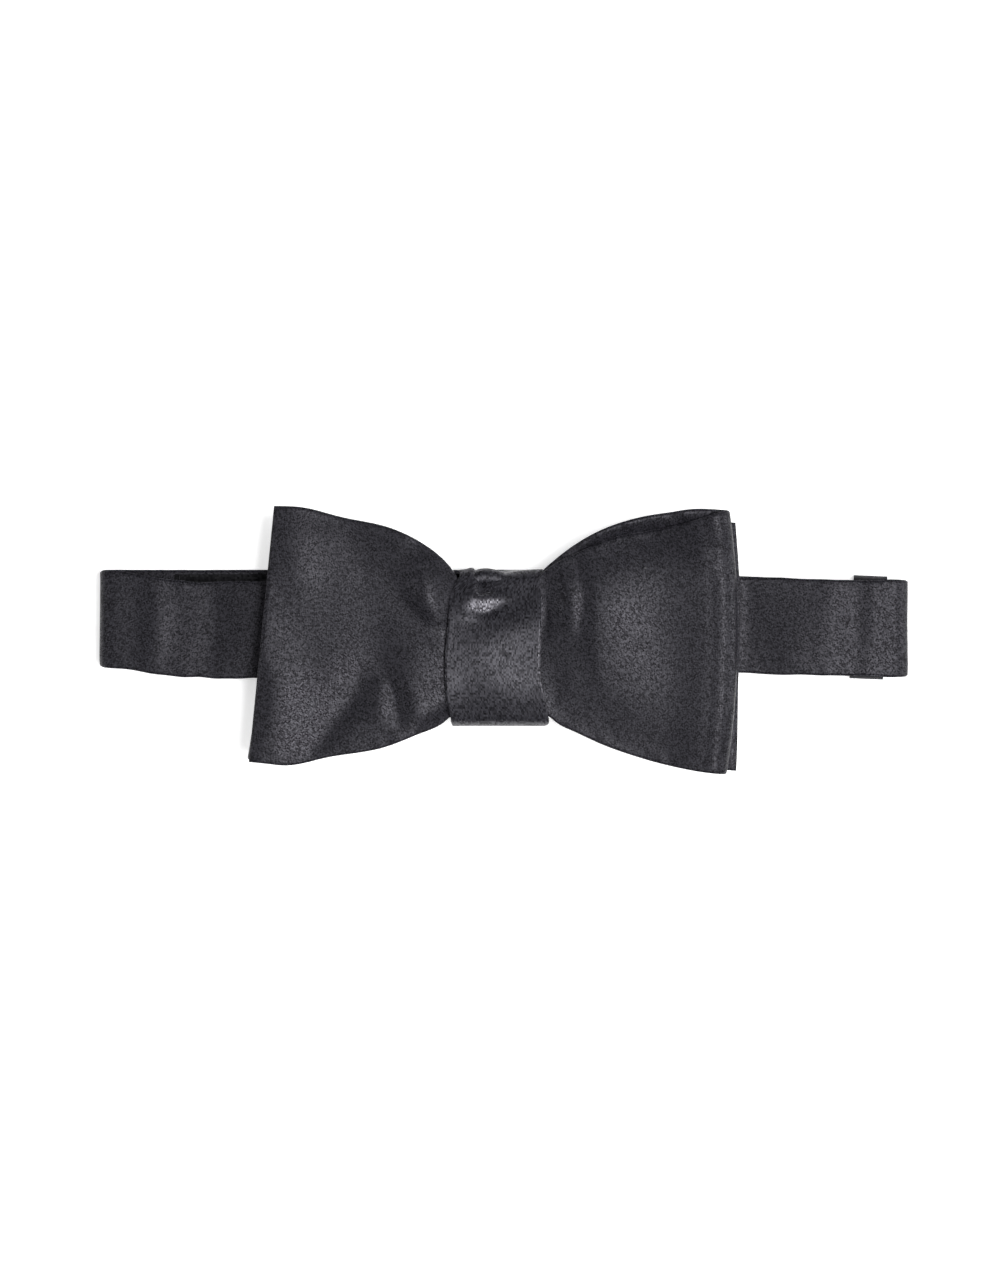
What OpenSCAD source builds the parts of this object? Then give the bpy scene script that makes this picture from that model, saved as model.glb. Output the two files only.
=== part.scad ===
// A pre-tied satin bow tie, lying on its back with the neckband clasped behind the bow.
// +X runs along the band, +Y towards the wearer's chin, +Z out of the bow's face.
// The table is z = 0, and the origin lies under the middle of the tie.

/* [Neckband] */
// Distance from the middle of the tie to the outside of each fold of the band
half_span = 98.5; // [96:0.5:104]
// Width of the satin band
band_w = 23.5; // [22:0.5:24.5]
// Thickness of the lined band
band_t = 1.2; // [1.1:0.05:1.3]
// Clear height inside the flattened neck loop
loop_gap = 5; // [4.8:0.2:6]
// Thickness of the unlined strap that runs through the slide
strap_t = 0.6; // [0.5:0.05:0.65]

/* [Bow] */
// Thickness of one lined blade of the bow
blade_t = 1.2; // [1.1:0.05:1.2]
// Thickness of the strip that makes the knot
wrap_t = 1.0; // [0.9:0.05:1.0]
// Thickness of the interlining in the blades and the band
lining_t = 0.4; // [0.3:0.05:0.45]

/* [Clasp] */
// Thickness of the stamped metal
metal_t = 0.8; // [0.7:0.05:0.8]
// Length of the hook's tongue along Y
tongue_w = 14; // [10:1:16]
// Space between the slide's bars, centre to centre
slide_pitch = 3.7; // [3.6:0.1:4]

/* [Hidden] */
$fn = 32;

// Levels of the neck loop: the middle of the back pass, of the front pass and of the folds
back_z = band_t / 2;
front_z = band_t * 1.5 + loop_gap;
fold_z = (back_z + front_z) / 2;
fold_r = (front_z - back_z) / 2;
fold_x = half_span - fold_r - band_t / 2;
// Each fold starts with this much flat band, and neighbouring pieces of cloth stop this far apart
fold_lead = 0.3;
seam_gap = 0.02;
// The band bends at x = +-bend_x, beside the knot in front and under the same line behind
bend_x = 15;
bend_gap = 0.5;
// Cavity for the interlining, and how far the lining stays inside the band's edges
pocket_t = lining_t + 0.1;
edge_inset = 1.2;

// Middle lines of the band's passes, as [x, y], from the bend to the fold
left_front_line = [[-bend_x - bend_gap, 2.4], [-77, 2.6], [-84.5, 3.4], [-fold_x + fold_lead, 5]];
left_back_line = [[-bend_x - bend_gap, 5.4], [-fold_x + fold_lead, 5.3]];
right_front_line = [[bend_x + bend_gap, 3.6], [fold_x - fold_lead, 2.8]];
back_y = 5.4;

// Levels of the four blade layers that lie on each other in the knot
layer_step = blade_t + 0.1;
layer_z = [for (i = [0:3]) front_z + band_t / 2 + 0.25 + blade_t / 2 + i * layer_step];

// Outline of the front blade: its flat tip on the left, its loop on the right
front_outline = [
    [-55.8, 32.6], [-49, 32.1], [-39.6, 29.8], [-26.4, 26.7], [-20.4, 23.8], [-15, 19.9],
    [-13.2, 15.6], [8.9, 15.6], [10.5, 17.6], [16, 21.8], [23.9, 26.2], [33.4, 29.2],
    [41.2, 30.4], [52.7, 31.6], [60, 31.8], [60, -32.6], [54.3, -32.6], [39.7, -30.4],
    [31.8, -28.2], [23.9, -25.4], [17.6, -22.5], [12.4, -19.8], [11.2, -17.6], [-13.8, -17.6],
    [-15.2, -20.3], [-21.1, -23], [-28.9, -26], [-44, -28.4], [-53, -30.4], [-61.9, -29.6],
    [-60.2, -15], [-58.7, 0], [-57.3, 18]
];
// Outline of the back blade: its loop on the left, its flat tip on the right
back_outline = [
    [-60, 30], [-49, 30.4], [-39.6, 28.6], [-26.4, 25.6], [-20.4, 22.8], [-15, 19],
    [-13.2, 15.4], [8.9, 15.4], [12, 18], [20, 23.5], [30, 27], [44, 28.6],
    [55.9, 28.2], [56.5, 16], [57.5, -6], [57.2, -14], [56.3, -25.8], [55.9, -31.8],
    [44, -30], [32, -27], [20, -22.6], [12.4, -19], [11.2, -17.4], [-13.8, -17.4],
    [-21, -22.4], [-29, -25.2], [-44, -27.8], [-53, -29.4], [-60, -29]
];
// Outline of the knot seen from the front
knot_outline = [
    [-12.4, 18], [-13.8, 6], [-14.2, -3], [-13.8, -15], [-12.6, -22],
    [11, -22], [10.2, -15], [9, -4], [9, 8], [8.7, 18]
];

// Clasp: places of the hook's bar, the eye's two bars and the slide's middle bar
hook_z = 2.2;
hook_bar_x = 24.45;
hook_plate_x = [27.2, 32.1];
hook_tongue_tip_x = 30.8;
eye_z = 1.3;
eye_near_x = 29.6;
eye_bar_x = 37.4;
slide_x = 88.9;
slide_z = 1.75;
wire_r = metal_t / 2;
strap_w = band_w - 1.1;
turn_r = wire_r + 0.1 + strap_t / 2;
// The clasped end of the right band runs a little uphill towards the middle
right_slope = -2.4;
right_fold_y = 2.8;

// Points of an arc in the plane of a profile
function arc(c, r, a0, a1, n) =
    [for (i = [0:n]) c + r * [cos(a0 + (a1 - a0) * i / n), sin(a0 + (a1 - a0) * i / n)]];

// Unit normal of a path at point i
function side(p, i) =
    let (d = p[min(i + 1, len(p) - 1)] - p[max(i - 1, 0)])
    [-d[1], d[0]] / norm(d);

// Outline of a strip of thickness t that follows a path
function strip(p, t) = concat(
    [for (i = [0:len(p) - 1]) p[i] + side(p, i) * t / 2],
    [for (i = [len(p) - 1:-1:0]) p[i] - side(p, i) * t / 2]
);

// A clockwise outline moved inwards by d
function inset(p, d) =
    let (n = len(p))
    [for (i = [0:n - 1])
        let (a = into(p[(i + n - 1) % n], p[i]), b = into(p[i], p[(i + 1) % n]))
        p[i] + d * (a + b) / (1 + a * b)];

// Unit vector that points into a clockwise outline from its edge p to q
function into(p, q) = [q[1] - p[1], p[0] - q[0]] / norm(q - p);

// Outline of a flat band of width w along a middle line
function band_outline(line, w) = concat(
    [for (p = line) p + [0, w / 2]],
    [for (i = [len(line) - 1:-1:0]) line[i] - [0, w / 2]]
);

// A path in XZ given a thickness t and run from y0 to y1
module strip_along_y(path, t, y0, y1)
    rotate([90, 0, 0])
        translate([0, 0, -y1])
            linear_extrude(y1 - y0)
                polygon(strip(path, t));

// A path in YZ given a thickness t and run from x0 to x1
module strip_along_x(path, t, x0, x1)
    rotate([90, 0, 90])
        translate([0, 0, x0])
            linear_extrude(x1 - x0)
                polygon(strip(path, t));

// The satin tube of one pass of the band, with its pocket open at both ends
module band_satin(line, z)
    color("#2b2b2f")
        difference() {
            translate([0, 0, z - band_t / 2])
                linear_extrude(band_t)
                    polygon(band_outline(line, band_w));
            translate([0, 0, z - pocket_t / 2])
                linear_extrude(pocket_t)
                    polygon(band_outline(stretched(line), band_w - 2 * edge_inset));
        }

// The interlining inside one pass of the band
module band_lining(line, z)
    color("#cfcabd")
        translate([0, 0, z - lining_t / 2])
            linear_extrude(lining_t)
                polygon(band_outline(line, band_w - 2 * edge_inset - 0.2));

// A path made 1 mm longer at its last point, or at both ends
function longer(path) =
    let (n = len(path) - 1, d = path[n] - path[n - 1])
    [for (i = [0:n]) i == n ? path[i] + d / norm(d) : path[i]];

function stretched(path) = reversed(longer(reversed(longer(path))));

function reversed(path) = [for (i = [len(path) - 1:-1:0]) path[i]];

// A short thread laid on a face, along X or Y
module thread(length, along_y = false)
    color("#17171a")
        rotate(along_y ? [90, 0, 0] : [0, 90, 0])
            cylinder(h = length, r = 0.16, center = true, $fn = 16);

// --- Neckband ---------------------------------------------------------------

centre_line = [[-bend_x + bend_gap, back_y], [bend_x - bend_gap, back_y]];

module back_centre_satin() band_satin(centre_line, back_z);

module back_centre_interlining() band_lining(centre_line, back_z);

module left_back_satin() band_satin(left_back_line, back_z);

module left_back_interlining() band_lining(left_back_line, back_z);

module left_front_satin() band_satin(left_front_line, front_z);

module left_front_interlining() band_lining(left_front_line, front_z);

module right_front_satin() band_satin(right_front_line, front_z);

module right_front_interlining() band_lining(right_front_line, front_z);

// The soft turn of the band at one end, along a path that starts on the front pass
module fold(path, y)
    color("#2b2b2f")
        strip_along_y(path, band_t, y - band_w / 2, y + band_w / 2);

fold_start = fold_x - fold_lead + seam_gap;

module left_fold_satin()
    fold(concat(
        [[-fold_start, front_z]],
        arc([-fold_x, fold_z], fold_r, 90, 270, 16),
        [[-fold_start, back_z]]
    ), 5.2);

// On the right the lined band ends in the fold, where the strap leaves it for the slide
right_fold_end = -60;

module right_fold_satin()
    fold(concat(
        [[fold_start, front_z]],
        arc([fold_x, fold_z], fold_r, 90, right_fold_end, 14)
    ), right_fold_y);

// Blank label on the inner face of the band, held by a row of stitches at each end
label_x = [-80.4, -32];
label_w = 21;
label_t = 0.3;

module woven_label()
    color("#101013")
        translate([label_x[0], back_y - label_w / 2 + 0.1, band_t + 0.02])
            cube([label_x[1] - label_x[0], label_w, label_t]);

module label_stitches()
    for (x = [label_x[0] + 1.2, label_x[1] - 1.2], i = [-4:4])
        translate([x, back_y + i * 2.2, band_t + label_t + 0.2])
            thread(1.4, along_y = true);

// --- Bow --------------------------------------------------------------------

front_fold_c = [54.1, 12.4];
front_fold_r = 1.8;
front_path = concat(
    [[-63, 13.2], [-45, 13.6], [-30, 13.7], [-13, layer_z[3] + 0.1]],
    [[-11, layer_z[3]], [10, layer_z[3]], [18, 13.2], [28, 14.4], [40, 14.9]],
    arc(front_fold_c, front_fold_r, 90, -90, 12),
    [[40, 10.5], [24, 10.6], [11, layer_z[2]], [1, layer_z[2]]]
);
back_fold_c = [-53.3, 10];
back_fold_r = 1.6;
back_path = concat(
    [[59, 8.4], [40, 8.8], [24, 8.8], [11, layer_z[0]], [-11, layer_z[0]], [-24, 8.5]],
    arc(back_fold_c, back_fold_r, -90, -270, 12),
    [[-40, 11.7], [-28, 11.4], [-14, layer_z[1] + 0.1], [-1, layer_z[1]]]
);
blade_top = 30;

// One blade: a strip along its path, cut to its outline moved in by d
module blade(path, t, outline, d)
    intersection() {
        strip_along_y(path, t, -40, 40);
        linear_extrude(blade_top)
            polygon(inset(outline, d));
    }

// The satin skin of a blade: its pocket is closed at the tip and open at the hidden end
module blade_skin(path, outline)
    color("#2b2b2f")
        difference() {
            blade(path, blade_t, outline, 0);
            blade(longer(path), pocket_t, outline, edge_inset);
        }

module blade_lining(path, outline)
    color("#cfcabd")
        blade(path, lining_t, outline, edge_inset + 0.2);

module front_blade_satin() blade_skin(front_path, front_outline);

module front_blade_interlining() blade_lining(front_path, front_outline);

module back_blade_satin() blade_skin(back_path, back_outline);

module back_blade_interlining() blade_lining(back_path, back_outline);

// --- Knot -------------------------------------------------------------------

// The strip starts on the back, goes round under the front and ends over its own start
wrap_back_z = front_z - band_t / 2 - 0.15 - wrap_t / 2;
wrap_path = concat(
    [[1, wrap_back_z]],
    arc([-17.7, wrap_back_z + 2.5], 2.5, 270, 180, 5),
    [[-20.2, 10.5], [-19.4, 12.9], [-16.5, 14.5], [-8, 15.1], [1, 15.3], [9, 15.2], [14, 14.7]],
    [[16.6, 13.2], [17, 10.5]],
    arc([14.5, wrap_back_z + 2.5], 2.5, 0, -90, 5),
    [[5, wrap_back_z], [3, wrap_back_z - wrap_t - 0.1], [-6, wrap_back_z - wrap_t - 0.1]]
);
wrap_pocket_t = 0.4;
wrap_lining_t = 0.3;

module wrap(path, t, k)
    intersection() {
        strip_along_x(path, t, -20, 20);
        linear_extrude(blade_top)
            polygon([for (p = knot_outline) [p[0] * k, p[1]]]);
    }

module knot_wrap_satin()
    color("#303036")
        difference() {
            wrap(wrap_path, wrap_t, 1);
            wrap(longer(wrap_path), wrap_pocket_t, 0.92);
        }

module knot_wrap_interlining()
    color("#cfcabd")
        wrap(wrap_path, wrap_lining_t, 0.9);

// Whip stitches over the strip's end, on the back of the knot
module knot_closing_stitches()
    for (i = [-4:3])
        translate([i * 2.4, -5.4, wrap_back_z - 1.5 * wrap_t - 0.3])
            thread(1.8, along_y = true);

in_knot_line = [[-bend_x + bend_gap, 3], [bend_x - bend_gap, 3]];

module band_in_knot_satin() band_satin(in_knot_line, front_z);

module band_in_knot_interlining() band_lining(in_knot_line, front_z);

// Two rows that hold the band to the back of the knot
module band_tack_stitches()
    for (s = [-1, 1], i = [0:3])
        translate([s * 6.5 - 1.5, 7.5 + i * 1.6, wrap_back_z - wrap_t / 2 - 0.2])
            thread(2.2);

// --- Clasp on the right end -------------------------------------------------

// Moves a piece drawn about y = 0 onto the sloping end of the right band
module on_right_end()
    translate([fold_x, right_fold_y, 0])
        rotate(right_slope)
            translate([-fold_x, 0, 0])
                children();

// A strap that follows a path at its full width
module strap(path)
    color("#2b2b2f")
        on_right_end()
            strip_along_y(path, strap_t, -strap_w / 2, strap_w / 2);

eye_c = [eye_bar_x, eye_z];
low_z = strap_t / 2;
upper_z = low_z + strap_t + 0.05;
run_x = [41.5, 80.2];

// The turn round the eye's far bar
module strap_eye_turn()
    strap(concat(
        [[run_x[0], low_z], [run_x[0] - 0.4, low_z], [39.4, low_z + 0.1]],
        arc(eye_c, turn_r, 270, 90, 10),
        [[39.6, upper_z + 0.5], [run_x[0] - 0.4, upper_z], [run_x[0], upper_z]]
    ));

// One of the two runs between the eye and the slide, at height z
module strap_run(z)
    strap([[run_x[0] + seam_gap, z], [run_x[1] - seam_gap, z]]);

module strap_lower_run() strap_run(low_z);

module strap_upper_run() strap_run(upper_z);

bars = [for (i = [-1:1]) [slide_x + i * slide_pitch, slide_z]];
weave_r = wire_r + 0.02 + strap_t / 2;
weave_loop_r = turn_r + strap_t + 0.02;
cross_a = asin((weave_r + weave_loop_r) / slide_pitch);

// The strap's way over the outer bars and under the middle one
module strap_weave()
    strap(concat(
        [[93.5, 2.3]],
        arc(bars[2], weave_r, 70, 90 + cross_a, 4),
        arc(bars[1], weave_loop_r, 270 + 90 - cross_a, 180 + cross_a, 6),
        arc(bars[0], weave_r, 90 - cross_a, 125, 4),
        [[83.3, 1.15], [82, 0.45], [run_x[1] + 0.6, low_z], [run_x[1], low_z]]
    ));

// The stretch between the weave and the fold
module strap_feed()
    color("#2b2b2f")
        strip_along_y([[94.1, 2.1], [95.1, 1.45], [96, 1.05]], strap_t,
                      right_fold_y - strap_w / 2, right_fold_y + strap_w / 2);

// The strap's end: it turns round the middle bar and is sewn to itself
module strap_tail()
    strap(concat(
        [[run_x[1], upper_z], [run_x[1] + 0.4, upper_z], [81.6, 1.35]],
        [[83.2, 2.35], [84.5, 3.05], [85.5, 3.15]],
        arc(bars[1], turn_r, 90, -100, 10)
    ));

module tail_stitches()
    on_right_end()
        for (i = [-3:3])
            translate([85.3, i * 3, 3.15 + strap_t / 2 + 0.2])
                thread(1.6);

// A flat frame bar along X at one side of the strap
module frame_bar(x0, x1, y, z, w)
    translate([x0, y - w / 2, z - metal_t / 2])
        cube([x1 - x0, w, metal_t]);

// A round bar along Y
module cross_bar(x, z, width)
    translate([x, 0, z])
        rotate([90, 0, 0])
            cylinder(h = width, r = wire_r, center = true);

frame_w = 1.2;
frame_y = strap_w / 2 + 0.2 + frame_w / 2;

module adjuster_slide()
    color("#3c3c41")
        on_right_end() {
            for (s = [-1, 1])
                frame_bar(bars[0][0] - wire_r, bars[2][0] + wire_r, s * frame_y, slide_z, frame_w);
            for (b = bars)
                cross_bar(b[0], slide_z, 2 * frame_y);
        }

module eye_loop()
    color("#3c3c41")
        on_right_end() {
            for (s = [-1, 1])
                frame_bar(eye_near_x - 0.6, eye_bar_x + wire_r, s * frame_y, eye_z, frame_w);
            translate([eye_near_x - 0.6, -frame_y, eye_z - metal_t / 2])
                cube([1.2, 2 * frame_y, metal_t]);
            cross_bar(eye_bar_x, eye_z, 2 * frame_y);
        }

// --- Clasp on the left end --------------------------------------------------

hook_strap_t = 0.8;
hook_strap_w = band_w - 0.2;
hook_turn_r = wire_r + 0.2 + hook_strap_t / 2;

// The band's end goes round the hook's bar and back onto itself
hook_end_path = concat(
    [[bend_x + bend_gap, 0.4], [19, 0.4], [22, 0.85]],
    arc([hook_bar_x, hook_z], hook_turn_r, -90, 90, 10),
    [[22.4, 2.75], [20.2, 1.6], [18.6, 1.3], [16.6, 1.3]]
);

module hook_end_satin()
    color("#2b2b2f")
        strip_along_y(hook_end_path, hook_strap_t, back_y - hook_strap_w / 2,
                      back_y + hook_strap_w / 2);

module hook_end_stitches()
    for (x = [17.4, 18.6], i = [-4:4])
        translate([x, back_y + i * 2.4, 1.3 + hook_strap_t / 2 + 0.2])
            thread(1.5, along_y = true);

hook_frame_y = hook_strap_w / 2 + 0.3 + frame_w / 2;
tongue_t = 0.8;

// A stamped plate with a slot for the band and a tongue that leans back towards it
module hook()
    color("#3c3c41")
        translate([0, back_y, 0]) {
            cross_bar(hook_bar_x, hook_z, 2 * hook_frame_y);
            for (s = [-1, 1])
                frame_bar(hook_bar_x - wire_r, hook_plate_x[1], s * hook_frame_y, hook_z, frame_w);
            translate([hook_plate_x[0], -hook_frame_y, hook_z - metal_t / 2])
                cube([hook_plate_x[1] - hook_plate_x[0], 2 * hook_frame_y, metal_t]);
            rotate([90, 0, 0])
                linear_extrude(tongue_w, center = true)
                    polygon([
                        [hook_plate_x[1] - 0.2 - tongue_t, hook_z],
                        [hook_plate_x[1] - 0.2, hook_z],
                        [hook_tongue_tip_x + tongue_t, 0.2],
                        [hook_tongue_tip_x, 0.2]
                    ]);
        }

back_centre_satin();
back_centre_interlining();
left_back_satin();
left_back_interlining();
left_fold_satin();
woven_label();
label_stitches();
left_front_satin();
left_front_interlining();
front_blade_satin();
front_blade_interlining();
back_blade_satin();
back_blade_interlining();
knot_wrap_satin();
knot_wrap_interlining();
knot_closing_stitches();
band_in_knot_satin();
band_in_knot_interlining();
band_tack_stitches();
right_front_satin();
right_front_interlining();
right_fold_satin();
eye_loop();
strap_eye_turn();
strap_lower_run();
strap_upper_run();
strap_feed();
adjuster_slide();
strap_weave();
strap_tail();
tail_stitches();
hook_end_satin();
hook_end_stitches();
hook();
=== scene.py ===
import math

import bpy
import numpy as np
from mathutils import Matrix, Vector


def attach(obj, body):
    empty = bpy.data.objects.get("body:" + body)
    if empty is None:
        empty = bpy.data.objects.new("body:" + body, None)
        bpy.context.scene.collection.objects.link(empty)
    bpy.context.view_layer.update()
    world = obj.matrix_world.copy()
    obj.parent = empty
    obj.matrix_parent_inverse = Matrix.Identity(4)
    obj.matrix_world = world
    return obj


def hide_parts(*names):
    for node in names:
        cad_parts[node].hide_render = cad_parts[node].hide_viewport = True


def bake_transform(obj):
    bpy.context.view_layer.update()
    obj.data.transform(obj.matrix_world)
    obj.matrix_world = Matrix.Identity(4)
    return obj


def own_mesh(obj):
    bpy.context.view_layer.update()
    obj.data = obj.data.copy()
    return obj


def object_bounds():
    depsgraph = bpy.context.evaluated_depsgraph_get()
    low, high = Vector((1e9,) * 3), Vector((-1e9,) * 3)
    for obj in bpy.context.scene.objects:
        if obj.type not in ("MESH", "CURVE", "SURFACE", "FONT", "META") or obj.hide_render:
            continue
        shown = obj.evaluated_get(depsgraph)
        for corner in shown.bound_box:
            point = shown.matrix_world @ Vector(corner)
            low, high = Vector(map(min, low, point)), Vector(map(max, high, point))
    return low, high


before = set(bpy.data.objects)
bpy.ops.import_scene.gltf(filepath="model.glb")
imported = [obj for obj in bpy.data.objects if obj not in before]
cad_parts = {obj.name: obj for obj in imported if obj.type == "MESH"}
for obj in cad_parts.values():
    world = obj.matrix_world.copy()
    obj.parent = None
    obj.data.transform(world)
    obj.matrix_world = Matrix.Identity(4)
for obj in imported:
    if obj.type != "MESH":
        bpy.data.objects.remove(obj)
cad_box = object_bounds()
scene = bpy.context.scene
mm = 0.001

# --- Camera -----------------------------------------------------------------
# The tie lies flat and is seen from straight above with a long lens. The view is as tall
# as one and a half times the tie is long, and its middle is the middle of the band.
tie_low, tie_high = cad_box
view_height = 1.58 * (tie_high.x - tie_low.x)
lens = 150
sensor_width = 36
camera_y = -0.4 * mm

camera_data = bpy.data.cameras.new("camera")
camera_data.lens = lens
camera_data.sensor_width = sensor_width
camera = bpy.data.objects.new("camera", camera_data)
camera.location = (0, camera_y, tie_high.z * 0.6 + view_height * lens / sensor_width)
scene.collection.objects.link(camera)
scene.camera = camera
scene.view_settings.view_transform = "Standard"

# --- Table and studio light -------------------------------------------------
# A plain white table that glows a little, one large soft box high up on the right and two long
# ones at the sides. The room is bright above and dim at the horizon.
table_mesh = bpy.data.meshes.new("table")
table_half = 1.6
table_level = -0.3 * mm
table_mesh.from_pydata(
    [(sx * table_half, sy * table_half, table_level) for sx, sy in ((-1, -1), (1, -1), (1, 1), (-1, 1))],
    [], [(0, 1, 2, 3)],
)
table = bpy.data.objects.new("table", table_mesh)
scene.collection.objects.link(table)
table_paint = bpy.data.materials.new("table_paint")
table_paint.use_nodes = True
table_shader = table_paint.node_tree.nodes["Principled BSDF"]
table_shader.inputs["Base Color"].default_value = (0.93, 0.93, 0.93, 1)
table_shader.inputs["Roughness"].default_value = 0.9
table_shader.inputs["Specular IOR Level"].default_value = 0.1
table_shader.inputs["Emission Color"].default_value = (1, 1, 1, 1)
table_shader.inputs["Emission Strength"].default_value = 0.45
table_mesh.materials.append(table_paint)


def soft_box(name, place, width, height, power):
    """A rectangular studio light at place, turned towards the middle of the table."""
    data = bpy.data.lights.new(name, "AREA")
    data.shape = "RECTANGLE"
    data.size, data.size_y = width, height
    data.energy = power
    light = bpy.data.objects.new(name, data)
    light.location = place
    toward = np.zeros(3) - np.array(place, float)
    light.rotation_mode = "QUATERNION"
    light.rotation_quaternion = Vector(toward).to_track_quat("-Z", "Y")
    scene.collection.objects.link(light)


soft_box("overhead_box", place=(0.33, -0.08, 1.15), width=0.66, height=0.36, power=13.5)
soft_box("left_box", place=(-1.1, 0.0, 0.8), width=0.25, height=0.8, power=3)
soft_box("right_box", place=(1.2, 0.0, 0.5), width=0.25, height=0.8, power=7)

world = bpy.data.worlds.new("room")
world.use_nodes = True
room = world.node_tree
sky = room.nodes.new("ShaderNodeTexCoord")
sky_split = room.nodes.new("ShaderNodeSeparateXYZ")
sky_level = room.nodes.new("ShaderNodeMapRange")
sky_level.inputs["From Min"].default_value = 0.1
sky_level.inputs["From Max"].default_value = 0.95
sky_level.inputs["To Min"].default_value = 0.14
sky_level.inputs["To Max"].default_value = 0.55
room.links.new(sky.outputs["Generated"], sky_split.inputs[0])
room.links.new(sky_split.outputs["Z"], sky_level.inputs["Value"])
room.links.new(sky_level.outputs[0], room.nodes["Background"].inputs["Strength"])
room.nodes["Background"].inputs["Color"].default_value = (1, 1, 1, 1)
scene.world = world

# --- Front blade ------------------------------------------------------------
# A lined satin tube, sewn and turned. From its flat tip on the left it runs through the
# knot, makes the loop on the right and comes back to end under the knot.
satin_dark = (0.0010, 0.0010, 0.0014)
satin_light = (0.0165, 0.0160, 0.0205)


def new_group(name, inputs, outputs):
    """An empty shader node group; each socket is given as (name, type, default)."""
    group = bpy.data.node_groups.new(name, "ShaderNodeTree")
    for way, sockets in (("INPUT", inputs), ("OUTPUT", outputs)):
        for socket_name, kind, value in sockets:
            socket = group.interface.new_socket(socket_name, in_out=way, socket_type="NodeSocket" + kind)
            if value is not None:
                socket.default_value = value
    return group


def add(tree, kind, inputs=(), **settings):
    """A new node with its settings, and its inputs set to values or linked to sockets."""
    node = tree.nodes.new("ShaderNode" + kind)
    for key, value in settings.items():
        setattr(node, key, value)
    for key, value in dict(inputs).items():
        if isinstance(value, bpy.types.NodeSocket):
            tree.links.new(value, node.inputs[key])
        else:
            node.inputs[key].default_value = value
    return node


def weave_group():
    """Cloth laid along a UV map in metres: each float has its own shade, with clouds and a faint twill."""
    group = new_group(
        "woven_cloth",
        [("Cloth", "Vector", None), ("Grain Angle", "Float", 0.0), ("Thread Pitch", "Float", 0.0003),
         ("Float Length", "Float", 5.0), ("Twill", "Float", 0.5), ("Dust", "Float", 0.3)],
        [("Shade", "Float", None), ("Height", "Float", None), ("Lint", "Float", None)],
    )
    into = group.nodes.new("NodeGroupInput")
    out = group.nodes.new("NodeGroupOutput")
    turned = add(group, "VectorRotate",
                 {"Vector": into.outputs["Cloth"], "Angle": into.outputs["Grain Angle"]},
                 rotation_type="Z_AXIS")
    per_thread = add(group, "Math", {0: 1.0, 1: into.outputs["Thread Pitch"]}, operation="DIVIDE")
    threads = add(group, "VectorMath", {0: turned.outputs["Vector"], "Scale": per_thread.outputs[0]},
                  operation="SCALE")
    split = add(group, "SeparateXYZ", {"Vector": threads.outputs["Vector"]})
    along = add(group, "Math", {0: split.outputs["X"], 1: into.outputs["Float Length"]}, operation="DIVIDE")
    float_place = add(group, "CombineXYZ", {"X": along.outputs[0], "Y": split.outputs["Y"]})
    cloud = add(group, "TexNoise", {"Vector": float_place.outputs["Vector"], "Scale": 1.0, "Detail": 2.0})
    one_float = add(group, "VectorMath", {0: float_place.outputs["Vector"]}, operation="FLOOR")
    speck = add(group, "TexWhiteNoise", {"Vector": one_float.outputs["Vector"]}, noise_dimensions="3D")
    half_cloud = add(group, "Math", {0: cloud.outputs["Fac"], 1: 0.5}, operation="MULTIPLY")
    floats = add(group, "Math", {0: speck.outputs["Value"], 1: 0.5, 2: half_cloud.outputs[0]},
                 operation="MULTIPLY_ADD")
    diagonal = add(group, "Math", {0: split.outputs["X"], 1: split.outputs["Y"]}, operation="ADD")
    wobble = add(group, "TexNoise", {"Vector": threads.outputs["Vector"], "Scale": 0.15, "Detail": 1.0})
    bent = add(group, "Math", {0: wobble.outputs["Fac"], 1: 3.0, 2: diagonal.outputs[0]},
               operation="MULTIPLY_ADD")
    turns = add(group, "Math", {0: bent.outputs[0], 1: 2.4}, operation="MULTIPLY")
    ridge = add(group, "Math", {0: turns.outputs[0]}, operation="SINE")
    twill = add(group, "Math", {0: ridge.outputs[0], 1: into.outputs["Twill"]}, operation="MULTIPLY")
    half_twill = add(group, "Math", {0: twill.outputs[0], 1: 0.25}, operation="MULTIPLY")
    shade = add(group, "Math", {0: floats.outputs[0], 1: half_twill.outputs[0]}, operation="ADD",
                use_clamp=True)
    lint_dots = add(group, "TexVoronoi", {"Vector": into.outputs["Cloth"], "Scale": 150.0, "Randomness": 1.0})
    lint_size = add(group, "TexNoise", {"Vector": into.outputs["Cloth"], "Scale": 90.0, "Detail": 0.0})
    lint_limit = add(group, "MapRange", {"Value": lint_size.outputs["Fac"],
                                         "From Min": 0.52, "From Max": 0.75, "To Max": 0.045})
    lint_near = add(group, "Math", {0: lint_dots.outputs["Distance"], 1: lint_limit.outputs[0]},
                    operation="LESS_THAN")
    lint = add(group, "Math", {0: lint_near.outputs[0], 1: into.outputs["Dust"]}, operation="MULTIPLY")
    group.links.new(shade.outputs[0], out.inputs["Shade"])
    group.links.new(shade.outputs[0], out.inputs["Height"])
    group.links.new(lint.outputs[0], out.inputs["Lint"])
    return group


woven_cloth = weave_group()


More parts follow.
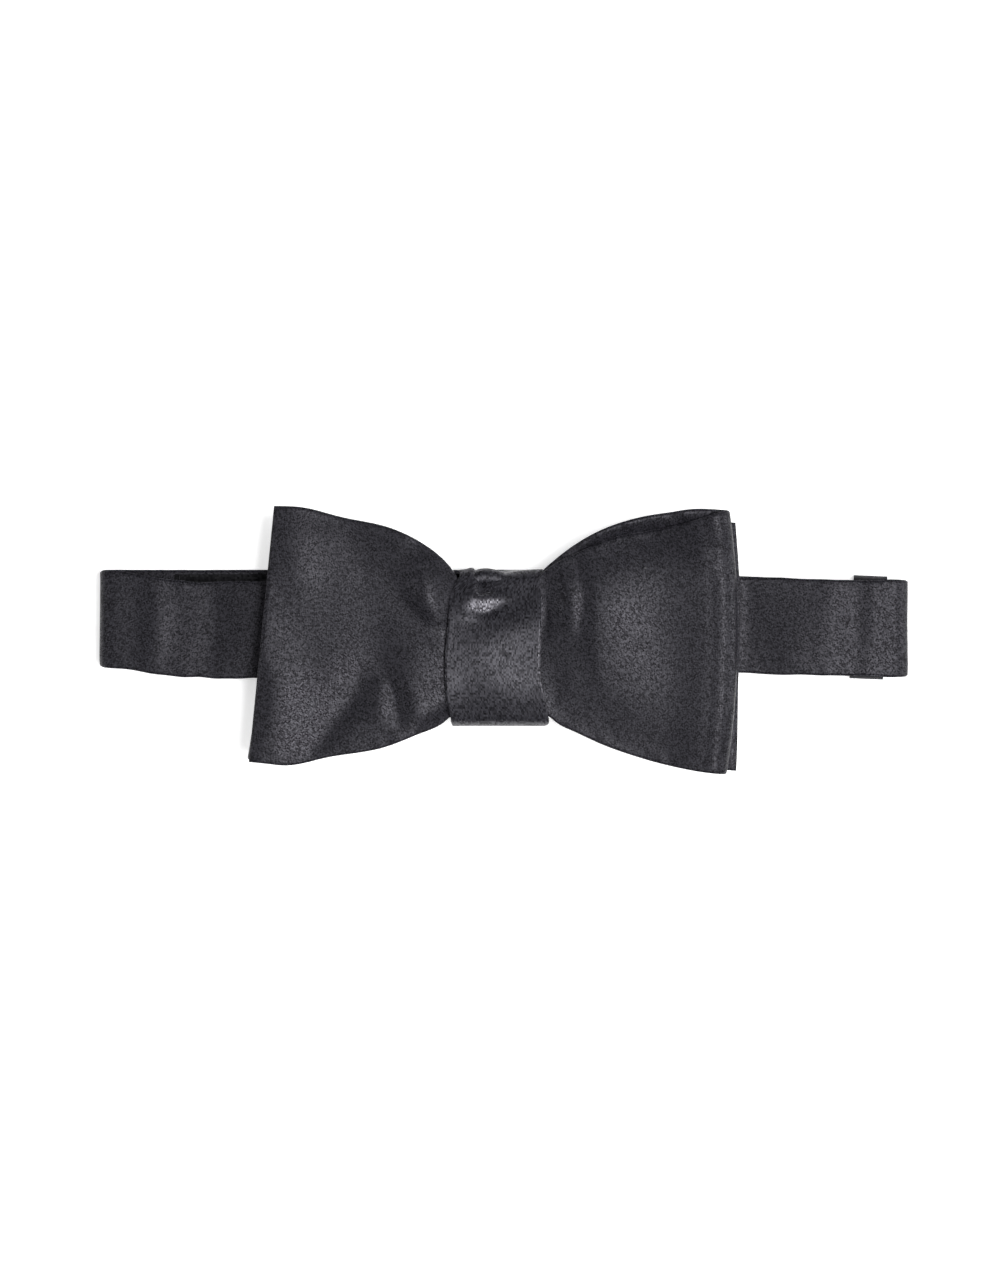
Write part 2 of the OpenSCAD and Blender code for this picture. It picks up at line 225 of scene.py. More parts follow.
def cloth_material(name, dark, light, grain=0.0, pitch=0.00029, float_length=1.2, twill=0.1, dust=0.3,
                   rough=(0.38, 0.54), sheen=0.04, specular=0.2, glint=0.6, anisotropy=0.3, bump=0.1):
    """A woven cloth: thread colour between dark and light, gloss on the floats, a soft sheen."""
    material = bpy.data.materials.new(name)
    material.use_nodes = True
    tree = material.node_tree
    shader = tree.nodes["Principled BSDF"]
    shader.inputs["Sheen Weight"].default_value = sheen
    shader.inputs["Sheen Roughness"].default_value = 0.35
    shader.inputs["Sheen Tint"].default_value = (0.75, 0.75, 0.85, 1)
    shader.inputs["Specular Tint"].default_value = (0.93, 0.91, 1.0, 1)
    shader.inputs["Anisotropic"].default_value = anisotropy
    shader.inputs["Anisotropic Rotation"].default_value = (grain / (2 * math.pi)) % 1.0
    uv = add(tree, "UVMap", uv_map="cloth")
    tangent = add(tree, "Tangent", direction_type="UV_MAP", uv_map="cloth")
    tree.links.new(tangent.outputs[0], shader.inputs["Tangent"])
    weave = add(tree, "Group", node_tree=woven_cloth)
    tree.links.new(uv.outputs[0], weave.inputs["Cloth"])
    for socket, value in (("Grain Angle", grain), ("Thread Pitch", pitch), ("Float Length", float_length),
                          ("Twill", twill), ("Dust", dust)):
        weave.inputs[socket].default_value = value
    shade = add(tree, "MapRange", {"Value": weave.outputs["Shade"], "From Min": 0.2, "From Max": 0.8})
    thread = add(tree, "Mix", {"Factor": shade.outputs[0], 6: (*dark, 1), 7: (*light, 1)}, data_type="RGBA")
    lint_colour = (0.12, 0.12, 0.126, 1)
    linted = add(tree, "Mix", {"Factor": weave.outputs["Lint"], 6: thread.outputs[2], 7: lint_colour},
                 data_type="RGBA")
    tree.links.new(linted.outputs[2], shader.inputs["Base Color"])
    gloss = add(tree, "MapRange", {"Value": shade.outputs[0], "To Min": rough[1], "To Max": rough[0]})
    tree.links.new(gloss.outputs[0], shader.inputs["Roughness"])
    shine = add(tree, "MapRange", {"Value": shade.outputs[0], "To Min": specular * (1 - glint),
                                   "To Max": specular * (1 + glint)})
    tree.links.new(shine.outputs[0], shader.inputs["Specular IOR Level"])
    relief = add(tree, "Bump", {"Strength": bump, "Distance": 0.00012, "Height": weave.outputs["Height"]})
    tree.links.new(relief.outputs[0], shader.inputs["Normal"])
    return material


satin = cloth_material("charcoal_satin", satin_dark, satin_light, grain=0.7)


def smooth_line(points, count=200):
    """count rows spread evenly along a smooth line that passes through the given rows."""
    p = np.array(points, float)
    gap = np.maximum(np.linalg.norm(np.diff(p[:, :2], axis=0), axis=1), 1e-6)
    at = np.concatenate([[0], np.cumsum(gap)])
    slope = np.gradient(p, at, axis=0)
    fine = np.linspace(0, at[-1], 24 * len(p))
    k = np.clip(np.searchsorted(at, fine, side="right") - 1, 0, len(p) - 2)
    h = (at[k + 1] - at[k])[:, None]
    t = (fine - at[k])[:, None] / h
    line = ((2 * t**3 - 3 * t**2 + 1) * p[k] + (t**3 - 2 * t**2 + t) * h * slope[k]
            + (3 * t**2 - 2 * t**3) * p[k + 1] + (t**3 - t**2) * h * slope[k + 1])
    run = np.concatenate([[0], np.cumsum(np.linalg.norm(np.diff(line[:, :2], axis=0), axis=1))])
    even = np.linspace(0, run[-1], count)
    return np.stack([np.interp(even, run, line[:, i]) for i in range(p.shape[1])], axis=1)


def height_at(x, edge):
    """y of an outline edge, given as [x, y] points in order of x, at each x."""
    line = smooth_line(edge)
    return np.interp(x, line[:, 0], line[:, 1])


def across(count):
    """Places from -1 to 1 across a piece, closer together near its two edges."""
    t = np.linspace(-1, 1, count)
    return 0.62 * np.sin(t * math.pi / 2) + 0.38 * t


def waves(x, y, shortest, longest, height, seed, count=18):
    """Gentle unevenness: a sum of plane waves with lengths in mm."""
    draw = np.random.RandomState(seed)
    total = np.zeros_like(x)
    for _ in range(count):
        length = draw.uniform(shortest, longest)
        angle = draw.uniform(0, math.pi)
        phase = draw.uniform(0, 6.28)
        total += np.sin((x * math.cos(angle) + y * math.sin(angle)) * 2 * math.pi / length + phase)
    return total * height / math.sqrt(count)


def crease(x, y, points, height, width, other_width=None):
    """A soft ridge, or a valley where height is below 0, along a smooth line through points, in mm."""
    line = smooth_line(points, 40)
    best = np.full(x.shape, 1e9)
    side = np.zeros_like(best)
    share = np.zeros_like(best)
    for i in range(len(line) - 1):
        a, d = line[i], line[i + 1] - line[i]
        t = np.clip(((x - a[0]) * d[0] + (y - a[1]) * d[1]) / (d @ d), 0, 1)
        ox, oy = x - a[0] - t * d[0], y - a[1] - t * d[1]
        away = np.hypot(ox, oy)
        nearer = away < best
        best = np.where(nearer, away, best)
        side = np.where(nearer, (d[0] * oy - d[1] * ox) / np.maximum(away * np.hypot(*d), 1e-9), side)
        share = np.where(nearer, (i + t) / (len(line) - 1), share)
    w = (width + (other_width or width)) / 2 + side * (width - (other_width or width)) / 2
    ends = np.sin(np.clip(0.16 + 0.68 * share, 0, 1) * math.pi)
    return height * ends * np.exp(-((best / w) ** 2))


def lengths(grid, axis):
    """Distance run along one axis of a grid of points."""
    step = np.linalg.norm(np.diff(grid, axis=axis), axis=2)
    zero = np.zeros_like(np.take(step, [0], axis=axis))
    return np.concatenate([zero, np.cumsum(step, axis=axis)], axis=axis)


def rounded(distance, half, radius, least=0.02):
    """Half thickness at a distance from the edge: half inside, falling in a quarter circle to least."""
    fall = np.sqrt(np.maximum(0, 1 - (1 - np.clip(distance / radius, 0, 1)) ** 2))
    return np.maximum(half * fall, least)


def ramp(value, low, high):
    """0 below low, 1 above high and smooth between them."""
    t = np.clip((value - low) / (high - low), 0, 1)
    return t * t * (3 - 2 * t)


def normals(grid):
    """Unit normals of a grid of points."""
    n = np.cross(np.gradient(grid, axis=0), np.gradient(grid, axis=1))
    return n / np.maximum(np.linalg.norm(n, axis=2, keepdims=True), 1e-12)


def held_ends(grid):
    """A grid with one more row close to each end, which keeps the end walls out of the smooth shading."""
    near_end = 0.03
    first = grid[:1] + near_end * (grid[1:2] - grid[:1])
    last = grid[-1:] + near_end * (grid[-2:-1] - grid[-1:])
    return np.concatenate([grid[:1], first, grid[1:-1], last, grid[-1:]])


def shell(middle, half, inward=False):
    """Points, faces and UVs of a closed skin round a grid of points, half away on both sides."""
    offset = normals(middle) * np.broadcast_to(half, middle.shape[:2])[..., None]
    middle, offset = held_ends(middle), held_ends(offset)
    rows, columns = middle.shape[:2]
    points = np.concatenate([(middle + offset).reshape(-1, 3), (middle - offset).reshape(-1, 3)])
    index = np.arange(rows * columns).reshape(rows, columns)
    top = np.stack([index[:-1, :-1], index[1:, :-1], index[1:, 1:], index[:-1, 1:]], axis=-1).reshape(-1, 4)
    faces = [top, top[:, ::-1] + rows * columns]
    for p, q in ((index[1:, 0], index[:-1, 0]), (index[:-1, -1], index[1:, -1]),
                 (index[0, :-1], index[0, 1:]), (index[-1, 1:], index[-1, :-1])):
        faces.append(np.stack([q, p, p + rows * columns, q + rows * columns], axis=-1))
    faces = np.concatenate(faces)
    along, sideways = lengths(middle, 0), lengths(middle, 1)
    centre = columns // 2
    flat = np.stack([np.broadcast_to(along[:, [centre]], along.shape),
                     sideways - sideways[:, [centre]]], axis=-1).reshape(-1, 2)
    flat = np.concatenate([flat, flat + (0, 300)])
    return points, faces[:, ::-1] if inward else faces, flat


def build(name, parts, material):
    """One object from (points in mm, four-sided faces, UVs in mm) parts; its UVs are in metres."""
    points, faces, flat, first = [], [], [], 0
    for part_points, part_faces, part_flat in parts:
        points.append(part_points)
        faces.append(part_faces + first)
        flat.append(part_flat)
        first += len(part_points)
    points, faces, flat = np.concatenate(points) * mm, np.concatenate(faces), np.concatenate(flat) * mm
    mesh = bpy.data.meshes.new(name)
    mesh.vertices.add(len(points))
    mesh.vertices.foreach_set("co", points.astype(np.float32).ravel())
    mesh.loops.add(faces.size)
    mesh.loops.foreach_set("vertex_index", faces.ravel().astype(np.int32))
    mesh.polygons.add(len(faces))
    mesh.polygons.foreach_set("loop_start", np.arange(0, faces.size, 4, dtype=np.int32))
    mesh.polygons.foreach_set("loop_total", np.full(len(faces), 4, np.int32))
    mesh.polygons.foreach_set("use_smooth", np.ones(len(faces), bool))
    mesh.update(calc_edges=True)
    uv = mesh.uv_layers.new(name="cloth")
    uv.data.foreach_set("uv", flat[faces.ravel()].astype(np.float32).ravel())
    mesh.materials.append(material)
    mesh.validate()
    piece = bpy.data.objects.new(name, mesh)
    scene.collection.objects.link(piece)
    return piece


def inner_grid(middle, side, first, last, rows, columns):
    """A coarser grid on the same surface, kept side, first and last mm inside its sides and its two ends."""
    centre = middle.shape[1] // 2
    along = lengths(middle, 0)[:, centre]
    places = np.linspace(first, along[-1] - last, rows)
    picked = np.empty((rows, middle.shape[1], 3))
    for j in range(middle.shape[1]):
        for k in range(3):
            picked[:, j, k] = np.interp(places, along, middle[:, j, k])
    run = lengths(picked, 1)
    inner = np.empty((rows, columns, 3))
    for i in range(rows):
        at = np.linspace(side, run[i, -1] - side, columns)
        for k in range(3):
            inner[i, :, k] = np.interp(at, run[i], picked[i, :, k])
    return inner


def lined(name, middle, half, satin_material, sewn=(True, True), lining_half=0.2, margin=1.2):
    """A hollow satin tube round a grid of points, and the sheet of interlining inside it.
    sewn says whether its first and its last end are closed by a seam."""
    ends = [margin if closed else 0.3 for closed in sewn]
    rows, columns = max(8, len(middle) // 3), max(8, middle.shape[1] // 4)
    pocket = inner_grid(middle, margin, *ends, rows, columns)
    sheet = inner_grid(middle, margin + 0.25, ends[0] + 0.1, ends[1] + 0.1, rows, columns)
    skin = build(name, [shell(middle, half), shell(pocket, lining_half + 0.05, inward=True)], satin_material)
    lining = build(name + "_interlining_sheet", [shell(sheet, lining_half)], interlining)
    return skin, lining


def edge_distance(grid, ends=(True, True)):
    """Distance in mm of each point of a grid from its sides, and from its first and last rows where asked."""
    sideways, along = lengths(grid, 1), lengths(grid, 0)
    nearest = np.minimum(sideways, sideways[:, [-1]] - sideways)
    if ends[0]:
        nearest = np.minimum(nearest, along)
    if ends[1]:
        nearest = np.minimum(nearest, along[[-1]] - along)
    return nearest


interlining = cloth_material("woven_interlining", (0.42, 0.40, 0.35), (0.62, 0.60, 0.54), pitch=0.0006,
                             float_length=1.4, twill=0.1, dust=0.0, rough=(0.8, 0.95), sheen=0.1,
                             specular=0.2, anisotropy=0.0, bump=0.4)
blade_half = 0.58
bow_seam = 0.75

# Rows of the blade's middle line: x, z, share of the slanting tip, share of the curved fold,
# share of the back layer's outline
front_line = smooth_line([
    (-58.8, 13.6, 1, 0, 0), (-52, 13.7, 0.8, 0, 0), (-42, 13.4, 0.35, 0, 0), (-30, 13.5, 0, 0, 0),
    (-19, 14.0, 0, 0, 0), (-14.5, 13.6, 0, 0, 0), (-11, 12.5, 0, 0, 0), (0, 12.2, 0, 0, 0),
    (9, 12.35, 0, 0, 0), (18, 13.4, 0, 0, 0), (28, 13.9, 0, 0.1, 0), (40, 14.5, 0, 0.5, 0),
    (50, 15.1, 0, 0.9, 0.1), (54.0, 14.9, 0, 1, 0.25), (55.7, 13.7, 0, 1, 0.4), (56.0, 12.3, 0, 1, 0.5),
    (54.6, 10.9, 0, 1, 0.7), (50, 10.45, 0, 0.9, 1), (40, 10.5, 0, 0.5, 1), (24, 10.7, 0, 0.1, 1),
    (11, 10.85, 0, 0, 1), (1, 10.85, 0, 0, 1),
], 360)

front_top = [(-63, 32.2), (-55.8, 32.4), (-49, 32.1), (-39.6, 29.8), (-26.4, 26.7), (-20.4, 23.8),
             (-14.8, 19.6), (-12, 16.2), (-8.5, 11), (-4, 10.6), (3, 10.6), (6.5, 12), (9.2, 16.2),
             (12.5, 18.6), (18.4, 21.5), (26.3, 24.7), (34.9, 26.4), (41.2, 27.6), (47.5, 29.2),
             (52.7, 30.7), (57, 31.2)]
front_bottom = [(-63, -29.4), (-58, -29.9), (-53, -30.4), (-42, -28.3), (-28.9, -26), (-21.1, -23),
                (-15.1, -20.4), (-12.6, -18.4), (-8, -17.4), (7, -17.4), (10.6, -18.4), (13, -20.3),
                (17.6, -22.5), (23.9, -25.4), (31.8, -28.2), (39.7, -30.4), (54.3, -32.6), (57, -32.6)]
front_hidden_top = [(-12, 11), (-4, 10.6), (3, 10.6), (6.5, 12), (9.2, 16.6), (12.5, 19.6), (16, 22.3),
                    (23.9, 26.8), (33.4, 29.8), (41.2, 31), (52.7, 31.9), (57, 31.8)]


def blade_grid(line, top, bottom, hidden_top, slant, fold_curve, columns):
    """The middle surface of a blade, in mm: slant and fold_curve give how far x moves at each y."""
    v = (across(columns)[None, :] + 1) / 2
    x0, z = line[:, [0]], np.repeat(line[:, [1]], columns, axis=1)
    tip, fold, hidden = line[:, [2]], line[:, [3]], line[:, [4]]
    x = np.repeat(x0, columns, axis=1)
    for _ in range(3):
        upper = height_at(x, top) * (1 - hidden) + height_at(x, hidden_top) * hidden
        lower = height_at(x, bottom)
        y = lower + (upper - lower) * v
        x = x0 + tip * slant(y) + fold * fold_curve(y)
    return np.stack([x, y, z], axis=-1)


# The line of each crease, its height, its width and, where it differs, the width on its other side
bow_creases = [
    ([(-19.5, 17), (-18.6, 11), (-16.6, 5.5)], 1.2, 3.0, 2.8),
    ([(-27, 14), (-23.5, 8), (-19, 3.6), (-13, 2.0)], -0.8, 2.8, 4.0),
    ([(-32, -9), (-30.6, -14), (-29.6, -20)], 0.45, 2.4, 2.8),
    ([(-24.5, -9), (-21.5, -15), (-18.2, -20)], 0.55, 3.4, 3.2),
    ([(-28, -8), (-26.4, -13), (-25.0, -20)], -0.5, 1.8),
    ([(-31, -7), (-37, -14.5), (-46, -26)], -0.95, 3.4, 5.0),
    ([(-61, 14), (-58, 0), (-55.5, -12), (-58, -28)], 1.25, 6.5, 4.2),
    ([(-54, 32), (-51, 22), (-49, 14)], 0.6, 5.5, 5.0),
    ([(-38, 28), (-34, 18), (-31, 6)], -0.5, 5.0),
    ([(-52, 33), (-38, 31), (-24, 26)], -0.9, 6.0),
    ([(21.0, 19), (22.6, 10.5), (22.4, 3), (24, -8)], 0.85, 9.0, 3.0),
    ([(18.0, 18), (19.3, 10.5), (18.7, 2)], -0.3, 1.8, 2.0),
    ([(12.6, 16.5), (15.8, 11.5), (16.2, 4)], 0.95, 3.4, 2.4),
    ([(9.0, 10), (9.4, 6), (9.0, 1.5)], -1.2, 2.2),
    ([(12, -19), (30, -28), (56, -34)], -2.5, 10.0, 12.5),
    ([(20, 24), (38, 27.4), (54, 30)], -2.0, 10.5, 7.0),
    ([(45, 22), (44, 4), (44, -16)], -0.6, 9.0, 13.0),
    ([(41, 27.4), (46.5, 25), (50, 19)], 0.55, 3.0),
]
gathers = [
    ([(-19, 24), (-12.5, 17.5), (-9, 11)], -2.0, 3.2),
    ([(-21, -24), (-14, -19.5), (-9, -16.5)], -1.4, 3.0),
]


def bow_folds(x, y):
    """Height in mm of the soft folds and dents that both blades share, seen from the front."""
    soft = sum(crease(x, y, *row) for row in bow_creases)
    in_knot = np.exp(-((x + 1.5) / 11.5) ** 6)
    gathered = sum(crease(x, y, *row) for row in gathers)
    return gathered + (soft + waves(x, y, 14, 34, 0.09, 5)) * (1 - 0.93 * in_knot)


def pucker(grid, nearest, height, pitch, seed):
    """The small regular pull of the stitches along a sewn edge."""
    x, y = grid[..., 0], grid[..., 1]
    swing = np.sin((x + y) * 2 * math.pi / pitch + 1.5 * np.sin((x - y) * 0.27 + seed))
    return height * swing * np.exp(-nearest / 2.0)


def in_bow(piece, node):
    """Makes a piece stand for a CAD node and move with the bow."""
    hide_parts(node)
    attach(piece, "bow")


front_grid = blade_grid(front_line, front_top, front_bottom, front_hidden_top,
                        lambda y: 0.0985 * y, lambda y: -2.0 * ((y - 2) / 30) ** 2, 100)
front_share = 0.18 + 0.82 * ramp(front_grid[..., 2], 10.9, 13.3)
front_grid[..., 2] += front_share * bow_folds(front_grid[..., 0], front_grid[..., 1])
# the loop's back layer rises towards its upper edge, so the loop looks open from above
front_v = (across(front_grid.shape[1])[None, :] + 1) / 2
loop_lip = front_line[:, [4]] * ramp(front_v, 0.89, 1.0) * ramp(front_grid[..., 0], 12, 24)
lip_wave = 1 + 0.04 * np.sin(front_grid[..., 0] * 0.9) + 0.06 * np.sin(front_grid[..., 0] * 0.43)
front_grid[..., 2] += 2.7 * loop_lip * lip_wave * (1 - ramp(front_grid[..., 0], 50, 55))
front_near = edge_distance(front_grid, (True, False))
front_grid[..., 2] += pucker(front_grid, front_near, 0.10, 6.5, 0.4)
front_half = rounded(front_near, blade_half, bow_seam)
front_blade, front_lining = lined("front_blade", front_grid, front_half, satin, sewn=(True, False))
in_bow(front_blade, "front_blade_satin")
in_bow(front_lining, "front_blade_interlining")

# --- Back blade -------------------------------------------------------------
# The second lined satin tube, a mirror of the first: its flat tip is on the right, behind
# the front blade's loop, and its own loop is on the left, behind the front blade's tip.
back_line = smooth_line([
    (57.2, 8.5, 1, 0, 0), (48, 8.7, 0.6, 0, 0), (40, 8.8, 0.2, 0, 0), (24, 8.7, 0, 0, 0), (11, 8.25, 0, 0, 0),
    (0, 8.25, 0, 0, 0), (-11, 8.25, 0, 0, 0), (-24, 8.5, 0, 0.1, 0), (-40, 8.5, 0, 0.5, 0),
    (-50, 8.5, 0, 0.9, 0), (-55.6, 8.85, 0, 1, 0), (-57.6, 9.95, 0, 1, 0), (-55.6, 11.1, 0, 1, 0),
    (-50, 11.7, 0, 0.9, 0), (-40, 11.8, 0, 0.5, 0), (-28, 11.4, 0, 0.1, 0), (-14, 9.75, 0, 0, 0),
    (-1, 9.55, 0, 0, 0),
], 320)
back_top = [(-62, 30.2), (-49, 30.6), (-39.6, 28.6), (-26.4, 25.6), (-20.4, 22.8), (-14.6, 18.8),
            (-12, 15.8), (-8.5, 11), (-4, 10.6), (3, 10.6), (6.5, 12), (9.2, 15.8), (12.5, 18.2),
            (20, 23.3), (30, 26.9), (44, 28.6), (56, 28.5), (60, 28.4)]
back_bottom = [(-62, -29.2), (-53, -29.2), (-44, -27.6), (-29, -25), (-21, -22.2), (-14.6, -19.4),
               (-12, -17.6), (-8, -17), (7, -17), (10.6, -17.8), (12.8, -19.2), (20, -22.6), (32, -27),
               (44, -30), (56, -31.8), (60, -31.9)]


def back_tip(y):
    """How far the tip's edge lies from its mean line at each height: it bulges a little at mid height."""
    return -0.9 * (y / 30) ** 2 + 0.2 * np.sin(y / 7)


back_grid = blade_grid(back_line, back_top, back_bottom, back_top, back_tip,
                       lambda y: 0.115 * y - 0.9 * (y / 30) ** 2, 84)
back_x, back_y = back_grid[..., 0], back_grid[..., 1]
back_upper = ramp(back_grid[..., 2], 9.2, 11.4)
fold_height = bow_folds(back_x, back_y)
back_grid[..., 2] += back_upper * (0.9 * np.minimum(fold_height, 0) + 0.25 * np.maximum(fold_height, 0))
back_grid[..., 2] += (1 - back_upper) * 0.12 * fold_height
back_near = edge_distance(back_grid, (True, False))
back_grid[..., 2] += pucker(back_grid, back_near, 0.08, 6.1, 2.0)
back_half = rounded(back_near, blade_half, bow_seam)
back_blade, back_lining = lined("back_blade", back_grid, back_half, satin, sewn=(True, False))
in_bow(back_blade, "back_blade_satin")
in_bow(back_lining, "back_blade_interlining")

# --- Knot -------------------------------------------------------------------
# A strip of the same satin, lined and folded lengthwise. It is wound once round the blades
# and the band, pleated at its top left corner, and whip-stitched closed on the back.
knot_satin = cloth_material("knot_satin", (0.001, 0.001, 0.0015), (0.019, 0.0185, 0.0235),
                            pitch=0.00034, float_length=1.5, rough=(0.30, 0.44), specular=0.37,
                            glint=0.75, bump=0.05)


def arc(centre, radius, start, end, count):
    """Points on an arc, in degrees."""
    a = np.radians(np.linspace(start, end, count))
    return [(centre[0] + radius * math.cos(t), centre[1] + radius * math.sin(t)) for t in a]


knot_half = 0.48
knot_path = smooth_line(
    [(1, 5.55), (-8, 5.55), (-15, 5.55)] + arc((-17.6, 8.05), 2.5, 262, 180, 5)
    + [(-20.4, 10.4), (-19.4, 12.5), (-16.6, 13.8), (-12.5, 14.9), (-7, 15.45), (-1, 15.55), (4, 15.3),
       (8.4, 14.1), (12.4, 12.5), (15.4, 11.4), (16.7, 9.9)]
    + arc((14.2, 8.05), 2.5, 0, -82, 5) + [(11, 5.5), (5.5, 5.35), (3, 4.6), (-1, 4.45), (-6, 4.45)], 300)
knot_left = [(-24, -12.2), (-22, -12.6), (-18.7, -13.0), (-15, -13.9), (-9, -14.2), (-4.1, -14.2), (2, -13.7),
             (7, -13.4), (11.6, -13.0), (14, -11.9), (16, -9.9), (17, -8.2), (18.5, -7.9)]
knot_right = [(-24, 11.4), (-20.1, 11), (-15.5, 10.2), (-6, 8.8), (-1, 8.9), (7, 9), (12, 8.8), (16.7, 8.3),
              (18.5, 8.2)]
knot_columns = 76
knot_v = (across(knot_columns)[None, :] + 1) / 2
path_y, path_z = knot_path[:, [0]], knot_path[:, [1]]
in_front = ramp(path_z, 9, 12)
behind_left, behind_right = -12.6, 9.6
left_edge = height_at(path_y, knot_left) * in_front + behind_left * (1 - in_front)
right_edge = height_at(path_y, knot_right) * in_front + behind_right * (1 - in_front)
knot_x = left_edge + (right_edge - left_edge) * knot_v
knot_y = np.repeat(path_y, knot_columns, axis=1)
knot_z = np.repeat(path_z, knot_columns, axis=1)
front_face = np.repeat(ramp(path_z, 11.5, 14), knot_columns, axis=1)
# the front's upper edge is drawn down into a notch beside the pleat
notch = height_at(knot_x, [(-16, 0.3), (-9.5, 0.1), (-7.7, -0.2), (-6.6, 1.6), (-5.7, 2.7),
                           (-4.4, 2.3), (-1, 1.3), (3.2, 0.5), (8.3, 0.1), (12, 0)])
knot_y = knot_y - notch * ramp(knot_y, 9.5, 14.5) * ramp(knot_z, 6.5, 9.5)
bulge_x, bulge_y = knot_x + 5.4, knot_y - 10.0
bulge = np.exp(-(((bulge_x / 5.0) ** 2 + (bulge_y / 4.3) ** 2) ** 2))
below_bulge = [(-15.5, 4.6), (-10, 3.6), (-6, 3.9), (-2.0, 5.8), (2.4, 9.2), (6, 12.5)]
above_bulge = [(-6.2, 15.0), (-4.4, 13.4), (-1.6, 12.6), (3.0, 13.4)]
relief = (
    bulge * (0.45 + 0.42 * bulge_y - 0.12 * bulge_x)
    + crease(knot_x, knot_y, below_bulge, -0.7, 2.2, 3.4)
    + crease(knot_x, knot_y, above_bulge, -0.5, 1.4, 1.8)
    + waves(knot_x, knot_y, 12, 26, 0.06, 11)
)
knot_z = knot_z + relief * front_face
knot_grid = np.stack([knot_x, knot_y, knot_z], axis=-1)
knot_thick = rounded(edge_distance(knot_grid), knot_half, 0.4)

# the pleat's inner layer, seen through the notch
pleat_rows, pleat_columns = 50, 30
pleat_left, pleat_width = -8.6, 12.8
pleat_path = smooth_line([(13.7, 11.0), (14.6, 11.4), (15.6, 11.4), (16.4, 10.9), (16.95, 9.9), (16.9, 8.5)],
                         pleat_rows)
pleat_edge = [(-10, -1.8), (-8, -0.9), (-6.2, -0.1), (-5, 0.1), (-1.7, -0.3), (0.2, -0.9), (3, -1.9),
              (6, -2.4)]
pleat_v = (across(pleat_columns)[None, :] + 1) / 2
pleat_x = pleat_left + pleat_width * np.repeat(pleat_v, pleat_rows, axis=0)
pleat_y = np.repeat(pleat_path[:, [0]], pleat_columns, axis=1) + height_at(pleat_x, pleat_edge)
pleat_z = np.repeat(pleat_path[:, [1]], pleat_columns, axis=1)
pleat_grid = np.stack([pleat_x, pleat_y, pleat_z], axis=-1)
pleat_thick = rounded(edge_distance(pleat_grid), 0.28, 0.3)
knot_inner = inner_grid(knot_grid, 1.2, 1.2, 1.2, 110, 20)
knot_sheet = inner_grid(knot_grid, 1.5, 1.4, 1.4, 110, 20)
knot_wrap = build("knot_wrap", [shell(knot_grid, knot_thick), shell(knot_inner, 0.2, inward=True),
                                shell(pleat_grid, pleat_thick)], knot_satin)
knot_lining = build("knot_wrap_interlining_sheet", [shell(knot_sheet, 0.15)], interlining)
in_bow(knot_wrap, "knot_wrap_satin")
in_bow(knot_lining, "knot_wrap_interlining")

# --- Knot stitches ----------------------------------------------------------
# Black sewing thread: whip stitches over the strip's end on the back of the knot, and two
# tacks that hold the strip to the band.
thread = cloth_material("sewing_thread", (0.006, 0.006, 0.007), (0.03, 0.03, 0.034), grain=0.6, pitch=0.00012,
                        float_length=3.0, twill=0.9, dust=0.0, rough=(0.4, 0.6), sheen=0.1, specular=0.4,
                        anisotropy=0.0, bump=0.8)


def tube(line, radius, sides=8):
    """Points, faces and UVs of a closed round thread along a line of points."""
    line = np.array(line, float)
    way = np.gradient(line, axis=0)
    way /= np.linalg.norm(way, axis=1, keepdims=True)
    up = np.cross(way, (0.31, 0.17, 0.93))
    up /= np.linalg.norm(up, axis=1, keepdims=True)
    other = np.cross(way, up)
    turn = np.linspace(0, 2 * math.pi, sides, endpoint=False)
    taper = np.full(len(line), radius)
    taper[[0, -1]] *= 0.4
    ring = np.cos(turn)[:, None] * up[:, None] + np.sin(turn)[:, None] * other[:, None]
    points = (line[:, None] + ring * taper[:, None, None]).reshape(-1, 3)
    index = np.arange(len(line) * sides).reshape(len(line), sides)
    after = np.roll(index, -1, axis=1)
    faces = [np.stack([index[:-1], after[:-1], after[1:], index[1:]], axis=-1).reshape(-1, 4)]
    for end, flip in ((0, True), (-1, False)):
        cap = np.array([[index[end, i], index[end, i + 1], index[end, -i - 2], index[end, -i - 1]]
                        for i in range(sides // 2 - 1)])
        faces.append(cap[:, ::-1] if flip else cap)
    run = np.concatenate([[0], np.cumsum(np.linalg.norm(np.diff(line, axis=0), axis=1))])
    flat = np.stack([np.repeat(run, sides), np.tile(turn * radius, len(line))], axis=-1)
    return points, np.concatenate(faces), flat


def stitch(middle, way, length, rise, lift=0.3):
    """A thread's line out of the cloth, over it and back in; rise points to the cloth's outside."""
    middle, way, rise = (np.array(v, float) for v in (middle, way, rise))
    t = np.linspace(-1, 1, 9)
    return middle + t[:, None] * way * length / 2 + (1 - t**4)[:, None] * rise * lift


def sewn_row(name, lines, radius, body, node):
    """A row of stitches as one piece that rides on a body and stands for a CAD node."""
    row = build(name, [tube(line, radius) for line in lines], thread)
    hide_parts(node)
    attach(row, body)
    return row


closing = [stitch((i * 2.4 + 0.2 * (i % 2), -5.6, 4.15), (0.3, 0.95, 0), 1.8, (0, 0.15, -1), 0.42)
           for i in range(-4, 4)]
sewn_row("knot_closing_stitches_thread", closing, 0.13, "bow", "knot_closing_stitches")
tacks = [stitch((side * 6.5 + 0.5 * step, 9.9 + 1.5 * step, 5.15), (0.2, 0.98, 0), 1.5, (0, 0, -1), 0.32)
         for side in (-1, 1) for step in (-1, 0, 1)]
sewn_row("band_tack_stitches_thread", tacks, 0.13, "bow", "band_tack_stitches")

